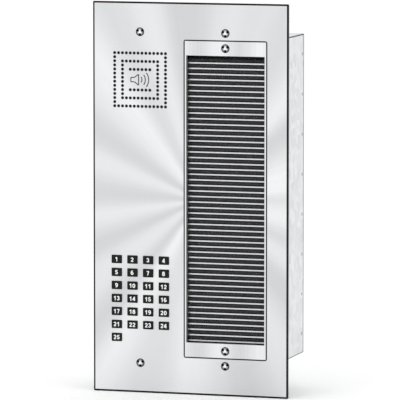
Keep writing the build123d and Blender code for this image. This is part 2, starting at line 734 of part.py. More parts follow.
with BuildPart() as back_box:
    with BuildSketch(facing(-EAR_THICK)):
        Rectangle(BOX_WIDTH, BOX_HEIGHT)
    extrude(amount=-BOX_DEPTH)
    fillet(back_box.faces().sort_by(Axis.Y)[-1].edges(), radius=2.0)
    fillet(back_box.edges().filter_by(Axis.Y), radius=1.2)
    with BuildSketch(facing(-EAR_THICK)):
        Rectangle(BOX_WIDTH, 2 * EAR_REACH)
    extrude(amount=-EAR_THICK)
    with BuildSketch(facing(-EAR_THICK)):
        Rectangle(BOX_WIDTH - 2 * BOX_SHEET, BOX_HEIGHT - 2 * BOX_SHEET)
    extrude(amount=BOX_SHEET - BOX_DEPTH, mode=Mode.SUBTRACT)
    # tapped ears, wall-fixing holes in the back, and the hole for the earth screw
    with BuildSketch(facing(-EAR_THICK)):
        with Locations(*plate_screw_places):
            Circle(SHANK_R + 0.15)
    extrude(amount=-EAR_THICK, mode=Mode.SUBTRACT)
    with BuildSketch(facing(BOX_BACK)):
        with GridLocations(2 * BACK_HOLE_X, 2 * BACK_HOLE_Z, 2, 2):
            Circle(BACK_HOLE_R)
        with Locations((0, GROUND_Z)):
            Circle(GROUND_R)
    extrude(amount=BOX_SHEET, mode=Mode.SUBTRACT)
    # knockouts: two in the back, two in the top, one left in the bottom
    with BuildSketch(facing(BOX_BACK)):
        knockout([(-40, 60), (40, 60)])
    extrude(amount=KNOCKOUT_DEEP, mode=Mode.SUBTRACT)
    with BuildSketch(Plane.XY.offset(half_height)):
        knockout([(-KNOCKOUT_X, KNOCKOUT_Y), (KNOCKOUT_X, KNOCKOUT_Y)])
    extrude(amount=-KNOCKOUT_DEEP, mode=Mode.SUBTRACT)
    with BuildSketch(Plane.XY.offset(-half_height)):
        knockout([(-KNOCKOUT_X, KNOCKOUT_Y)])
    extrude(amount=KNOCKOUT_DEEP, mode=Mode.SUBTRACT)
    # the opened knockout, for the cable bushing
    with BuildSketch(Plane.XY.offset(-half_height)):
        with Locations((KNOCKOUT_X, KNOCKOUT_Y)):
            Circle(KNOCKOUT_R)
    extrude(amount=BOX_SHEET, mode=Mode.SUBTRACT)
    # fixing holes in the side walls
    with BuildSketch(Plane.YZ.offset(-half_width)):
        with Locations((SIDE_HOLE_Y, SIDE_HOLE_Z), (SIDE_HOLE_Y, -SIDE_HOLE_Z)):
            Circle(SIDE_HOLE_R)
    extrude(amount=BOX_WIDTH, mode=Mode.SUBTRACT)
save("back_box", back_box)

with BuildPart() as box_nuts:
    with Locations(facing(0)):
        with Locations(*plate_screw_places):
            add(clinch_nut(5.5))
save("box_nuts", box_nuts)

BUSHING_BORE_R = 8.0
BUSHING_LIP_R = 13.5
BUSHING_INNER_R = 11.9
inner_floor = BOX_SHEET - half_height
with BuildPart() as cable_bushing:
    with BuildSketch(Plane(origin=(KNOCKOUT_X, KNOCKOUT_Y, 0), x_dir=(1, 0, 0), z_dir=(0, -1, 0))):
        Polygon(
            (BUSHING_BORE_R, -half_height - 2.4),
            (BUSHING_LIP_R - 1.2, -half_height - 2.4),
            (BUSHING_LIP_R, -half_height - 1.2),
            (BUSHING_LIP_R, -half_height),
            (KNOCKOUT_R - 0.1, -half_height),
            (KNOCKOUT_R - 0.1, inner_floor),
            (BUSHING_INNER_R, inner_floor),
            (KNOCKOUT_R - 0.8, inner_floor + 6.5),
            (BUSHING_BORE_R, inner_floor + 6.5),
            align=None,
        )
    revolve(axis=Axis((KNOCKOUT_X, KNOCKOUT_Y, 0), (0, 0, 1)))
save("cable_bushing", cable_bushing)

with BuildPart() as ground_screw:
    with BuildSketch(facing(BOX_BACK - BOX_SHEET)):
        with Locations((0, GROUND_Z)):
            RegularPolygon(4.0, 6, major_radius=False)
    extrude(amount=3.0)
    chamfer(ground_screw.faces().sort_by(Axis.Y)[0].edges(), length=0.5)
    with BuildSketch(facing(BOX_BACK - BOX_SHEET - 3.0)):
        with Locations((0, GROUND_Z)):
            Rectangle(8, 1.1)
    extrude(amount=-1.3, mode=Mode.SUBTRACT)
    with BuildSketch(facing(BOX_BACK - BOX_SHEET)):
        with Locations((0, GROUND_Z)):
            Circle(GROUND_R - 0.05)
    extrude(amount=-BOX_SHEET)
save("ground_screw", ground_screw)
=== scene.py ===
"""Flush door intercom panel: finishes, numbers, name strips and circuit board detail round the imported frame.

The panel stands upright and faces -Y, with X to the right and Z up, in metres. Each piece has its place in
its own mesh and rides on a body of the frame.
"""

import math

import bmesh
import bpy
from mathutils import Matrix, Vector


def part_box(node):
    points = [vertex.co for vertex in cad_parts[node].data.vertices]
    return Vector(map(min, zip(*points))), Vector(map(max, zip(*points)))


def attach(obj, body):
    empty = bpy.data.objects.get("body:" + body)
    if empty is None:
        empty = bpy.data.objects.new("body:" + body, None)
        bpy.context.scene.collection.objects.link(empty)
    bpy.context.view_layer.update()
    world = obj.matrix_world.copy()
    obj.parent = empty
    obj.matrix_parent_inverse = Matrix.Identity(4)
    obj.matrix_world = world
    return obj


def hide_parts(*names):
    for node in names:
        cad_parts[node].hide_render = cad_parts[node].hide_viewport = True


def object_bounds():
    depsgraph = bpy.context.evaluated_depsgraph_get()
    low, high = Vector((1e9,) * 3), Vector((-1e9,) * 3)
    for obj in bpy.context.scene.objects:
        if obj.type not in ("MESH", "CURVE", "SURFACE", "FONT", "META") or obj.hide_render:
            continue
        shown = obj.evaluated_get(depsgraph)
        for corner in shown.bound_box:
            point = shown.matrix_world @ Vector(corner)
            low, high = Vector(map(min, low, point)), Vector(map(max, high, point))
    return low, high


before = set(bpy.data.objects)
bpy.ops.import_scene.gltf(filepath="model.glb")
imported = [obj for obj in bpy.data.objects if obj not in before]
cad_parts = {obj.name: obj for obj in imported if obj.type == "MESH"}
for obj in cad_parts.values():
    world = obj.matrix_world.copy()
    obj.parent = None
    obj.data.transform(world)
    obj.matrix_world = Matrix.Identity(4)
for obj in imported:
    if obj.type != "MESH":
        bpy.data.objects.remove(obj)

bl_info = {
    "name": "Door intercom panel",
    "version": (1, 0, 0),
    "blender": (4, 5, 0),
    "location": "View3D > Sidebar > Intercom",
    "description": "Finishes and fine detail of a flush door intercom panel with numbered call buttons",
    "category": "Object",
}

MM = 0.001
CAD_LOW, CAD_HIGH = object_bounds()
PLATE_LOW, PLATE_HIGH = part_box("faceplate")
PLATE_CENTRE = (PLATE_LOW + PLATE_HIGH) / 2
BOX_HALF_HEIGHT = 188.3 * MM  # the ears stand out above and below this
BUTTON_SINK = 0.2 * MM  # from a cap's rim to its sunk face
GRILLE_SIDE = 14  # holes along a side of the outer square
WELD_REACH = 165 * MM  # from the box's middle to its last spot weld
BUTTONS = sorted(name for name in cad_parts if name.startswith("button_") and name[-2:].isdigit())

# The circular brushing, and the painted sheen that spreads from it in fan-shaped sectors, turn about a point a
# little right of the faceplate's middle.
BRUSHING_AND_SHEEN_CENTRE = PLATE_CENTRE + Vector((11.3 * MM, 0, -0.5 * MM))


# ---------------------------------------------------------------- small helpers
def linear(hex_colour):
    """An sRGB hex colour such as "8fa2b1" as a linear colour with alpha 1."""
    parts = [int(hex_colour[i : i + 2], 16) / 255 for i in (0, 2, 4)]
    return (*[p / 12.92 if p <= 0.04045 else ((p + 0.055) / 1.055) ** 2.4 for p in parts], 1.0)


def output(source):
    """A socket as it is, or the first output of a node."""
    return source.outputs[0] if isinstance(source, bpy.types.Node) else source


def add_node(tree, kind, settings=None, values=None, links=None, stops=None):
    """A node with its settings, socket values, links from sockets or nodes and, on a ramp, its stops."""
    made = tree.nodes.new(kind)
    for name, value in (settings or {}).items():
        setattr(made, name, value)
    for socket, value in (values or {}).items():
        made.inputs[socket].default_value = value
    for socket, source in (links or {}).items():
        tree.links.new(output(source), made.inputs[socket])
    if stops:
        ramp = made.color_ramp
        ramp.elements.remove(ramp.elements[1])
        ramp.elements[0].position, ramp.elements[0].color = stops[0]
        for place, colour in stops[1:]:
            ramp.elements.new(place).color = colour
    return made


def new_finish(name, values):
    """A material with a Principled surface: (material, its tree, the surface, its Object coordinates)."""
    old = bpy.data.materials.get(name)
    if old:
        bpy.data.materials.remove(old)
    material = bpy.data.materials.new(name)
    material.use_nodes = True
    tree = material.node_tree
    tree.nodes.clear()
    surface = add_node(tree, "ShaderNodeBsdfPrincipled", values=values)
    add_node(tree, "ShaderNodeOutputMaterial", links={"Surface": surface})
    return material, tree, surface, add_node(tree, "ShaderNodeTexCoord").outputs["Object"]


def shaded(tree, colour, pattern, span, shades):
    """The colour, darker where the pattern is at the low end of its span and lighter at the high end."""
    shade = add_node(
        tree,
        "ShaderNodeMapRange",
        values={"From Min": span[0], "From Max": span[1], "To Min": shades[0], "To Max": shades[1]},
        links={"Value": pattern},
    )
    return add_node(
        tree, "ShaderNodeVectorMath", settings={"operation": "SCALE"}, links={0: colour, "Scale": shade}
    )


def dress(tree, surface, colour, sheen=None, relief=None):
    """Links a colour, a sheen (pattern, least, most roughness) and a relief (pattern, strength, depth)."""
    tree.links.new(output(colour), surface.inputs["Base Color"])
    if sheen:
        pattern, least, most = sheen
        rough = add_node(
            tree,
            "ShaderNodeMapRange",
            values={"From Min": 0.3, "From Max": 0.7, "To Min": least, "To Max": most},
            links={"Value": pattern},
        )
        tree.links.new(rough.outputs[0], surface.inputs["Roughness"])
    if relief:
        pattern, strength, depth = relief
        bump = add_node(
            tree,
            "ShaderNodeBump",
            values={"Strength": strength, "Distance": depth},
            links={"Height": pattern},
        )
        tree.links.new(bump.outputs[0], surface.inputs["Normal"])


def fresh(name, mesh):
    """An object for the mesh, in place of any earlier one with that name."""
    old = bpy.data.objects.get(name)
    if old:
        bpy.data.objects.remove(old)
    made = bpy.data.objects.new(name, mesh)
    bpy.context.scene.collection.objects.link(made)
    return made


def finish_piece(piece, body, finish):
    """Gives a finished mesh its material and its body."""
    piece.data.materials.clear()
    piece.data.materials.append(finish)
    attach(piece, body)
    return piece


def paint(finish, *nodes):
    """Puts a material on carried-over nodes of the frame."""
    for name in nodes:
        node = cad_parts[name]
        if not node.material_slots:
            raise RuntimeError(f"{name} has no material slot")
        for place in node.material_slots:
            place.material = finish


def mesh_from(shape, name):
    """A mesh from a bmesh, with its doubles merged and its faces pointing out."""
    bmesh.ops.remove_doubles(shape, verts=shape.verts, dist=1e-7)
    bmesh.ops.recalc_face_normals(shape, faces=shape.faces)
    mesh = bpy.data.meshes.new(name)
    shape.to_mesh(mesh)
    shape.free()
    return mesh


def rounded_block(width, depth, height, edge, segments=1):
    """A block centred on the origin, X by Y by Z, with all its edges broken."""
    shape = bmesh.new()
    bmesh.ops.create_cube(shape, size=1)
    bmesh.ops.scale(shape, vec=(width, depth, height), verts=shape.verts)
    bmesh.ops.bevel(shape, geom=shape.edges[:], offset=edge, segments=segments, profile=0.5, affect="EDGES")
    return mesh_from(shape, "block")


def turned(profile, steps, closed=True):
    """A solid turned about the Y axis from (radius, y) points; a closed profile makes a ring."""
    shape = bmesh.new()
    rows = []
    for step in range(steps):
        turn = 2 * math.pi * step / steps
        row = [shape.verts.new((r * math.cos(turn), y, r * math.sin(turn))) for r, y in profile]
        rows.append(row)
    last = len(profile) if closed else len(profile) - 1
    for step in range(steps):
        here, there = rows[step], rows[(step + 1) % steps]
        for n in range(last):
            m = (n + 1) % len(profile)
            shape.faces.new((here[n], there[n], there[m], here[m]))
    return mesh_from(shape, "turned")


def arc(x, z, wide, tall, start, stop, steps=9):
    """Points round part of an ellipse in X and Z, from one angle to another in degrees."""
    turns = [math.radians(start + (stop - start) * n / steps) for n in range(steps + 1)]
    return [(x + wide * math.cos(a), z + tall * math.sin(a)) for a in turns]


# Strokes of each digit, in a cell DIGIT_WIDTH wide and 1 high. A path that ends where it starts is a loop.
DIGIT_WIDTH = 0.7
DIGIT_ADVANCE = 0.79
DIGITS = {
    "0": [arc(0.35, 0.5, 0.24, 0.4, 0, 360, 18)],
    "1": [[(0.12, 0.69), (0.27, 0.76), (0.38, 0.9)], [(0.43, 0.0), (0.43, 1.0)]],
    "2": [arc(0.35, 0.67, 0.23, 0.23, 170, -30) + [(0.14, 0.13)], [(0.07, 0.1), (0.64, 0.1)]],
    "3": [arc(0.34, 0.7, 0.21, 0.2, 165, -90), arc(0.34, 0.31, 0.24, 0.21, 90, -165)],
    "4": [[(0.5, 0.0), (0.5, 1.0)], [(0.47, 0.92), (0.1, 0.32)], [(0.03, 0.28), (0.68, 0.28)]],
    "5": [[(0.14, 0.9), (0.61, 0.9)], [(0.2, 0.92), (0.14, 0.5)], arc(0.34, 0.33, 0.24, 0.23, 140, -165)],
    "6": [arc(0.35, 0.32, 0.23, 0.22, 0, 360, 14), arc(0.37, 0.5, 0.26, 0.4, 55, 195)],
    "7": [[(0.07, 0.9), (0.66, 0.9)], [(0.6, 0.88), (0.42, 0.52), (0.31, 0.0)]],
    "8": [arc(0.35, 0.71, 0.2, 0.19, 0, 360, 14), arc(0.35, 0.3, 0.24, 0.2, 0, 360, 14)],
}
DIGITS["9"] = [[(DIGIT_WIDTH - x, 1.0 - z) for x, z in path] for path in DIGITS["6"]]


def pen_strokes(paths, pen, relief):
    """Strokes of a round pen in X and Z, flattened so that they stand proud of y = 0 by the relief."""
    line = bpy.data.curves.new("strokes", "CURVE")
    line.dimensions = "3D"
    line.bevel_depth, line.bevel_resolution, line.use_fill_caps = pen / 2, 2, True
    for path in paths:
        loop = math.dist(path[0], path[-1]) < 1e-6
        places = path[:-1] if loop else path
        spline = line.splines.new("POLY")
        spline.points.add(len(places) - 1)
        for point, (x, z) in zip(spline.points, places):
            point.co = (x, 0, z, 1)
        spline.use_cyclic_u = loop
    holder = fresh("strokes", line)
    bpy.context.view_layer.update()
    depsgraph = bpy.context.evaluated_depsgraph_get()
    mesh = bpy.data.meshes.new_from_object(holder.evaluated_get(depsgraph), depsgraph=depsgraph)
    bpy.data.objects.remove(holder)
    mesh.transform(Matrix.Diagonal((1, 2 * relief / pen, 1, 1)))
    shape = bmesh.new()
    shape.from_mesh(mesh)
    bpy.data.meshes.remove(mesh)
    return mesh_from(shape, "strokes")


def shifted(mesh, by):
    """The mesh, moved."""
    mesh.transform(Matrix.Translation(by))
    return mesh


def points_mesh(places):
    """A mesh of loose points, for a Geometry Nodes tree to put items on."""
    mesh = bpy.data.meshes.new("places")
    mesh.from_pydata([tuple(place) for place in places], [], [])
    return mesh


# ---------------------------------------------------------------- Geometry Nodes trees
def tree_with(name, inputs):
    """A Geometry Nodes tree with the named inputs: (tree, its input node, its output node)."""
    old = bpy.data.node_groups.get(name)
    if old:
        bpy.data.node_groups.remove(old)
    tree = bpy.data.node_groups.new(name, "GeometryNodeTree")
    for label, kind in inputs:
        tree.interface.new_socket(label, in_out="INPUT", socket_type=kind)
    tree.interface.new_socket("Geometry", in_out="OUTPUT", socket_type="NodeSocketGeometry")
    return tree, add_node(tree, "NodeGroupInput"), add_node(tree, "NodeGroupOutput")


def copies_in_a_line():
    """Repeats an item along a line: Count copies from Start, each a Step from the last."""
    tree, start, end = tree_with(
        "Copies in a line",
        [
            ("Item", "NodeSocketObject"),
            ("Count", "NodeSocketInt"),
            ("Start", "NodeSocketVector"),
            ("Step", "NodeSocketVector"),
            ("Finish", "NodeSocketMaterial"),
        ],
    )
    line = add_node(
        tree,
        "GeometryNodeMeshLine",
        settings={"mode": "OFFSET"},
        links={
            "Count": start.outputs["Count"],
            "Start Location": start.outputs["Start"],
            "Offset": start.outputs["Step"],
        },
    )
    put_items(tree, start, end, line)
    return tree


def copies_at_points():
    """Repeats an item at each point of the geometry, Size times its own size."""
    tree, start, end = tree_with(
        "Copies at points",
        [
            ("Geometry", "NodeSocketGeometry"),
            ("Item", "NodeSocketObject"),
            ("Size", "NodeSocketFloat"),
            ("Finish", "NodeSocketMaterial"),
        ],
    )
    put_items(tree, start, end, start.outputs["Geometry"], start.outputs["Size"])
    return tree


def put_items(tree, start, end, points, size=None):
    """Ends a tree: the item on each point, made real, with its material."""
    item = add_node(tree, "GeometryNodeObjectInfo", links={"Object": start.outputs["Item"]})
    links = {"Points": points, "Instance": item.outputs["Geometry"]}
    if size:
        links["Scale"] = size
    copies = add_node(tree, "GeometryNodeInstanceOnPoints", links=links)
    real = add_node(tree, "GeometryNodeRealizeInstances", links={0: copies})
    painted = add_node(
        tree, "GeometryNodeSetMaterial", links={"Geometry": real, "Material": start.outputs["Finish"]}
    )
    tree.links.new(painted.outputs[0], end.inputs[0])


def grown(name, tree, item_mesh, values, points=None):
    """A plain mesh object from a tree that repeats item_mesh, with the tree's other inputs by name."""
    item = fresh(name + "_item", item_mesh)
    carrier = fresh(name + "_carrier", points or bpy.data.meshes.new(name))
    modifier = carrier.modifiers.new("Repeat", "NODES")
    modifier.node_group = tree
    values = {**values, "Item": item}
    for socket in tree.interface.items_tree:
        if socket.item_type == "SOCKET" and socket.in_out == "INPUT" and socket.name in values:
            modifier[socket.identifier] = values[socket.name]
    bpy.context.view_layer.update()
    depsgraph = bpy.context.evaluated_depsgraph_get()
    mesh = bpy.data.meshes.new_from_object(carrier.evaluated_get(depsgraph), depsgraph=depsgraph)
    bpy.data.objects.remove(carrier)
    bpy.data.objects.remove(item)
    if not mesh.polygons:
        raise RuntimeError(f"{name} came out empty")
    return fresh(name, mesh)


def scattered(name, item, places, body, finish):
    """Copies of a small item at the places, as one piece that rides on the body."""
    values = {"Size": 1.0, "Finish": finish}
    made = grown(name, copies_at_points(), item, values, points=points_mesh(places))
    return finish_piece(made, body, finish)


# ---------------------------------------------------------------- finishes
def dark_edges(tree, here, colour, low, high, line):
    """Paints shade on a sheet's cut edges: painted shade on all that lies between its faces, the hole walls
    and the sheet's sides, and a painted dark line round the front.
    """
    shade = tuple(bpy.context.scene.intercom_finish.edge_colour)
    parts = add_node(tree, "ShaderNodeSeparateXYZ", links={0: here})
    into = add_node(
        tree,
        "ShaderNodeMapRange",
        values={"From Min": low.y, "From Max": high.y},
        links={"Value": parts.outputs[1]},
    )
    painted_shade_walls = add_node(
        tree,
        "ShaderNodeValToRGB",
        links={0: into},
        stops=[
            (0.0, (0, 0, 0, 1)),
            (0.015, (0, 0, 0, 1)),
            (0.05, (1, 1, 1, 1)),
            (0.97, (1, 1, 1, 1)),
            (0.99, (0, 0, 0, 1)),
        ],
    )
    reach = painted_shade_walls
    # the painted dark line round the front, the line's width in from the outline
    for socket, middle, half in (
        (parts.outputs[0], (low.x + high.x) / 2, (high.x - low.x) / 2),
        (parts.outputs[2], (low.z + high.z) / 2, (high.z - low.z) / 2),
    ):
        apart = add_node(
            tree, "ShaderNodeMath", settings={"operation": "SUBTRACT"}, values={1: middle}, links={0: socket}
        )
        far = add_node(tree, "ShaderNodeMath", settings={"operation": "ABSOLUTE"}, links={0: apart})
        edge = add_node(
            tree,
            "ShaderNodeMapRange",
            values={"From Min": half - line - 0.05 * MM, "From Max": half - line + 0.05 * MM},
            links={"Value": far},
        )
        both = add_node(tree, "ShaderNodeMath", settings={"operation": "MAXIMUM"}, links={0: reach, 1: edge})
        reach = both
    # mix in the painted shade colour
    mixed = add_node(
        tree, "ShaderNodeMix", settings={"data_type": "RGBA"}, values={7: shade}, links={0: reach, 6: colour}
    )
    return mixed.outputs[2]


def brushed_plate():
    """Stainless steel sheet, circular brushed, with a painted sheen: light and dark fan-shaped sectors painted
    into its colour, turning about a point right of its middle.
    """
    look = bpy.context.scene.intercom_finish
    finish, tree, surface, here = new_finish(
        "Circular brushed stainless steel with painted sheen", {"Metallic": 0.92, "Roughness": 0.34, "Anisotropic": 0.45}
    )
    centred = add_node(
        tree,
        "ShaderNodeMapping",
        values={"Location": (-BRUSHING_AND_SHEEN_CENTRE.x, 0, -BRUSHING_AND_SHEEN_CENTRE.z), "Scale": (1, 0, 1)},
        links={"Vector": here},
    )
    parts = add_node(tree, "ShaderNodeSeparateXYZ", links={0: centred})
    turn = add_node(
        tree,
        "ShaderNodeMath",
        settings={"operation": "ARCTAN2"},
        links={0: parts.outputs[2], 1: parts.outputs[0]},
    )
    direction = add_node(
        tree, "ShaderNodeVectorMath", settings={"operation": "NORMALIZE"}, links={0: centred}
    )
    # painted sheen: fan-shaped light and dark sectors painted into the colour, a wave round the centre which
    # noise on the direction makes uneven in width and strength
    wander = add_node(
        tree, "ShaderNodeTexNoise", values={"Scale": 1.6, "Detail": 1.0}, links={"Vector": direction}
    )
    sway = add_node(
        tree,
        "ShaderNodeMath",
        settings={"operation": "MULTIPLY"},
        values={1: look.fan_sway},
        links={0: wander},
    )
    phase = add_node(
        tree,
        "ShaderNodeMath",
        settings={"operation": "MULTIPLY_ADD"},
        values={1: float(look.fan_count)},
        links={0: turn, 2: sway},
    )
    wave = add_node(tree, "ShaderNodeMath", settings={"operation": "SINE"}, links={0: phase})
    level = add_node(
        tree,
        "ShaderNodeMath",
        settings={"operation": "MULTIPLY_ADD"},
        values={1: 0.2},
        links={0: wave, 2: wander},
    )
    # the dark and light greys of the painted sheen
    painted_sheen_fans = add_node(
        tree,
        "ShaderNodeValToRGB",
        links={0: level},
        stops=[(0.2, linear("d4d5d7")), (0.85, linear("f0f1f2"))],
    )
    # painted sheen: fine radial streaks painted into the colour, noise on the direction alone, so it has no
    # seam
    painted_sheen_rays = add_node(
        tree,
        "ShaderNodeTexNoise",
        values={"Scale": 16.0, "Detail": 3.0, "Roughness": 0.6},
        links={"Vector": direction},
    )
    # brushing rings: real grit lines are 0.1 mm apart, drawn 1.2 mm apart so that they show
    radius = add_node(tree, "ShaderNodeVectorMath", settings={"operation": "LENGTH"}, links={0: centred})
    rings = add_node(
        tree,
        "ShaderNodeTexNoise",
        settings={"noise_dimensions": "1D"},
        values={"Scale": 1 / (1.2 * MM), "Detail": 2.0},
        links={"W": radius.outputs["Value"]},
    )
    # the painted radial streaks of sheen together with the brushing rings, which make the colour lighter and
    # darker
    grain = add_node(tree, "ShaderNodeMath", settings={"operation": "ADD"}, links={0: painted_sheen_rays, 1: rings})
    colour = shaded(tree, painted_sheen_fans, grain, (0.5, 1.5), (0.965, 1.035))
    lift = add_node(
        tree,
        "ShaderNodeVectorMath",
        settings={"operation": "SCALE"},
        values={"Scale": look.plate_lift},
        links={0: colour},
    )
    # painted shade on the faceplate's edges and hole walls, and a painted dark line round its front
    painted_edge_shaded = dark_edges(tree, here, lift, PLATE_LOW, PLATE_HIGH, look.edge_line)
    dress(tree, surface, painted_edge_shaded, (rings, 0.3, 0.4), (rings, 0.05, 0.02 * MM))
    along = add_node(
        tree,
        "ShaderNodeVectorMath",
        settings={"operation": "CROSS_PRODUCT"},
        values={1: (0, 1, 0)},
        links={0: direction},
    )
    tree.links.new(along.outputs[0], surface.inputs["Tangent"])
    return finish


def brushed_frame():
    """Stainless steel strip brushed up and down, with a painted sheen: soft upright light and dark stripes
    painted into its colour, changing across its width.
    """
    finish, tree, surface, here = new_finish(
        "Straight brushed stainless steel with painted sheen", {"Metallic": 0.92, "Roughness": 0.36, "Anisotropic": 0.3}
    )
    low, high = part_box("directory_frame")
    middle = (low + high) / 2
    centred = add_node(
        tree,
        "ShaderNodeMapping",
        values={"Location": (0.5 - middle.x / (high.x - low.x), 0, 0), "Scale": (1 / (high.x - low.x), 1, 1)},
        links={"Vector": here},
    )
    parts = add_node(tree, "ShaderNodeSeparateXYZ", links={0: centred})
    # painted sheen: two bright stripes painted across the width
    across = add_node(
        tree,
        "ShaderNodeMath",
        settings={"operation": "MULTIPLY_ADD"},
        values={1: 4 * math.pi, 2: -1.2 * math.pi},
        links={0: parts.outputs[0]},
    )
    wave = add_node(tree, "ShaderNodeMath", settings={"operation": "SINE"}, links={0: across})
    level = add_node(
        tree, "ShaderNodeMapRange", values={"From Min": -1.0, "From Max": 1.0}, links={"Value": wave}
    )
    painted_sheen_stripes = add_node(
        tree, "ShaderNodeValToRGB", links={0: level}, stops=[(0.0, linear("d5d6d8")), (1.0, linear("e9eaeb"))]
    )
    # grit lines run up the strip: 0.1 mm apart in truth, drawn at 0.8 mm
    stretched = add_node(
        tree,
        "ShaderNodeMapping",
        values={"Scale": (1 / (0.8 * MM), 1 / (0.8 * MM), 12)},
        links={"Vector": here},
    )
    lines = add_node(
        tree, "ShaderNodeTexNoise", values={"Scale": 1.0, "Detail": 2.0}, links={"Vector": stretched}
    )
    # the painted sheen stripes, made lighter and darker by the grit lines
    colour = shaded(tree, painted_sheen_stripes, lines, (0.3, 0.7), (0.95, 1.03))
    # painted shade on the frame's edges and a painted dark line round its front
    painted_edge_shaded = dark_edges(tree, here, colour, low, high, 0.6 * bpy.context.scene.intercom_finish.edge_line)
    dress(tree, surface, painted_edge_shaded, (lines, 0.32, 0.42))
    return finish


def grained(name, light, dark, values, grain, rough, bump=0.0):
    """A finish whose colour, roughness and relief vary with a grain; the grain and bump are in mm."""
    finish, tree, surface, here = new_finish(name, values)
    noise = add_node(
        tree,
        "ShaderNodeTexNoise",
        values={"Scale": 1 / (grain * MM), "Detail": 3.0, "Roughness": 0.6},
        links={"Vector": here},
    )
    colour = add_node(
        tree, "ShaderNodeValToRGB", links={0: noise}, stops=[(0.35, linear(dark)), (0.65, linear(light))]
    )
    relief = (noise, 0.4, bump * MM) if bump else None
    dress(tree, surface, colour, (noise, *rough), relief)
    return finish


def galvanised():
    """Hot-dip galvanised sheet: zinc spangles 9 mm across, each a slightly different grey and sheen."""
    finish, tree, surface, here = new_finish("Galvanised steel sheet", {"Metallic": 0.6, "Roughness": 0.4})
    wander = add_node(
        tree, "ShaderNodeTexNoise", values={"Scale": 1 / (6 * MM), "Detail": 2.0}, links={"Vector": here}
    )
    bent = add_node(
        tree,
        "ShaderNodeVectorMath",
        settings={"operation": "MULTIPLY_ADD"},
        values={1: (3 * MM, 3 * MM, 3 * MM)},
        links={0: wander.outputs["Color"], 2: here},
    )
    spangle = add_node(
        tree,
        "ShaderNodeTexVoronoi",
        values={"Scale": 1 / (9 * MM), "Randomness": 1.0},
        links={"Vector": bent},
    )
    one = add_node(tree, "ShaderNodeSeparateColor", links={0: spangle.outputs["Color"]})
    colour = add_node(
        tree,
        "ShaderNodeValToRGB",
        links={0: one.outputs[0]},
        stops=[(0.0, linear("d3d5d7")), (0.5, linear("dbdddf")), (1.0, linear("e3e4e6"))],
    )
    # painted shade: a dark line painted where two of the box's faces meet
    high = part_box("back_box")[1]
    parts = add_node(tree, "ShaderNodeSeparateXYZ", links={0: here})
    near = []
    for socket, limit in (
        (parts.outputs[0], high.x),
        (parts.outputs[1], high.y - 3.2 * MM),
        (parts.outputs[2], BOX_HALF_HEIGHT - 0.4 * MM),
    ):
        far = add_node(tree, "ShaderNodeMath", settings={"operation": "ABSOLUTE"}, links={0: socket})
        close = add_node(
            tree,
            "ShaderNodeMapRange",
            values={"From Min": limit - 1.3 * MM, "From Max": limit - 0.9 * MM},
            links={"Value": far},
        )
        near.append(close)
    two = add_node(tree, "ShaderNodeMath", settings={"operation": "ADD"}, links={0: near[0], 1: near[1]})
    three = add_node(tree, "ShaderNodeMath", settings={"operation": "ADD"}, links={0: two, 1: near[2]})
    fold_shade_mask = add_node(
        tree, "ShaderNodeMapRange", values={"From Min": 1.4, "From Max": 1.8}, links={"Value": three}
    )
    # painted shade mixed into the zinc's colour along the folds
    painted_fold_shade = add_node(
        tree,
        "ShaderNodeMix",
        settings={"data_type": "RGBA"},
        values={7: linear("3a3b3f")},
        links={0: fold_shade_mask, 6: colour},
    )
    dress(tree, surface, painted_fold_shade.outputs[2])
    sheen = add_node(
        tree, "ShaderNodeMapRange", values={"To Min": 0.34, "To Max": 0.52}, links={"Value": one.outputs[1]}
    )
    tree.links.new(sheen.outputs[0], surface.inputs["Roughness"])
    return finish


def screw_steel():
    """Passivated stainless screw: a bright face polished by wear, with painted shade making it dark in the
    three round recesses and round the head.
    """
    finish, tree, surface, here = new_finish(
        "Passivated stainless steel screw", {"Metallic": 1.0, "Roughness": 0.3}
    )
    rim = PLATE_LOW.y
    parts = add_node(tree, "ShaderNodeSeparateXYZ", links={0: here})
    # from 1 mm in front of the sheet to 3 mm behind its face: the deeper, the darker the painted shade
    depth = add_node(
        tree,
        "ShaderNodeMapRange",
        values={"From Min": rim - 1 * MM, "From Max": rim + 3 * MM},
        links={"Value": parts.outputs[1]},
    )
    scuff = add_node(
        tree, "ShaderNodeTexNoise", values={"Scale": 1 / (1.5 * MM), "Detail": 3.0}, links={"Vector": here}
    )
    wear_and_recess_shade = add_node(
        tree,
        "ShaderNodeMath",
        settings={"operation": "MULTIPLY_ADD"},
        values={1: 0.02},
        links={0: scuff, 2: depth},
    )
    # bright face, then painted shade growing darker into the recesses and round the head, then paler steel
    # deeper still
    colour = add_node(
        tree,
        "ShaderNodeValToRGB",
        links={0: wear_and_recess_shade},
        stops=[
            (0.085, linear("eeeff0")),
            (0.115, linear("a6a7a9")),
            (0.185, linear("7c7d80")),
            (0.215, linear("18181a")),
            (0.70, linear("18181a")),
            (0.82, linear("b9babc")),
        ],
    )
    dress(tree, surface, colour, (scuff, 0.22, 0.34))
    return finish


def solder_mask():
    """Glass-epoxy circuit board under green solder mask: copper tracks show through as paler lines."""
    finish, tree, surface, here = new_finish(
        "Green solder mask", {"Roughness": 0.42, "Specular IOR Level": 0.4}
    )
    laid = add_node(
        tree, "ShaderNodeMapping", values={"Rotation": (math.pi / 2, 0, 0)}, links={"Vector": here}
    )
    # tracks on a 2.54 mm grid
    tracks = add_node(
        tree,
        "ShaderNodeTexBrick",
        settings={"offset": 0.37, "offset_frequency": 3},
        values={
            "Color1": (0, 0, 0, 1),
            "Color2": (0, 0, 0, 1),
            "Mortar": (1, 1, 1, 1),
            "Scale": 1.0,
            "Mortar Size": 0.3 * MM,
            "Brick Width": 12.7 * MM,
            "Row Height": 2.54 * MM,
        },
        links={"Vector": laid},
    )
    colour = add_node(
        tree,
        "ShaderNodeValToRGB",
        links={0: tracks},
        stops=[(0.0, linear("0d5227")), (1.0, linear("3c9657"))],
    )
    dress(tree, surface, colour, relief=(tracks, 0.5, 0.05 * MM))
    return finish


